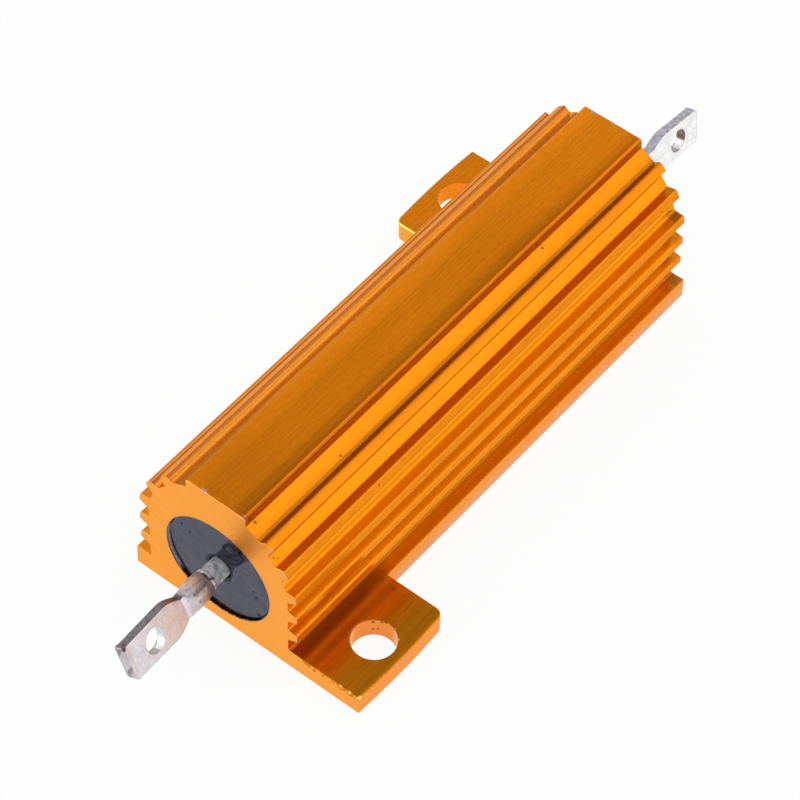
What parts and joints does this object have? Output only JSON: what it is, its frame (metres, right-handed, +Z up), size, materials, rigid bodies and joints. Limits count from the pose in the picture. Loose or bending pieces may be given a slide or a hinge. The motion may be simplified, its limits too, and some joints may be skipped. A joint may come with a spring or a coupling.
{
  "type": "aluminium housed wirewound resistor",
  "caption": "Wirewound power resistor in a finned gold anodised aluminium housing with diagonal mounting tabs and a pierced solder terminal at each end.",
  "frame": {"origin": "centre of the flat mounting face, half way between the two sawn ends of the housing", "axes": "+X along the resistor towards the right terminal, +Y across it, +Z up from the mounting face to the flat top"},
  "size_m": [0.0737, 0.0286, 0.0155],
  "materials": {
    "gold_anodised_aluminium": "gold anodised, satin, fine extrusion lines",
    "plug_resin": "black moulding resin, low sheen",
    "tinned_metal": "tinned over copper, mottled satin",
    "cap_steel": "plain pressed",
    "core_ceramic": "unglazed",
    "resistance_alloy": "dull",
    "compound": "mineral filled, matt"
  },
  "bodies": {
    "root": {"housing": "gold_anodised_aluminium", "left_end_plug": "plug_resin", "right_end_plug": "plug_resin", "left_terminal": "tinned_metal", "right_terminal": "tinned_metal", "left_end_cap": "cap_steel", "right_end_cap": "cap_steel", "ceramic_core": "core_ceramic", "resistance_winding": "resistance_alloy", "moulding_compound": "compound"}
  },
  "joints": []
}
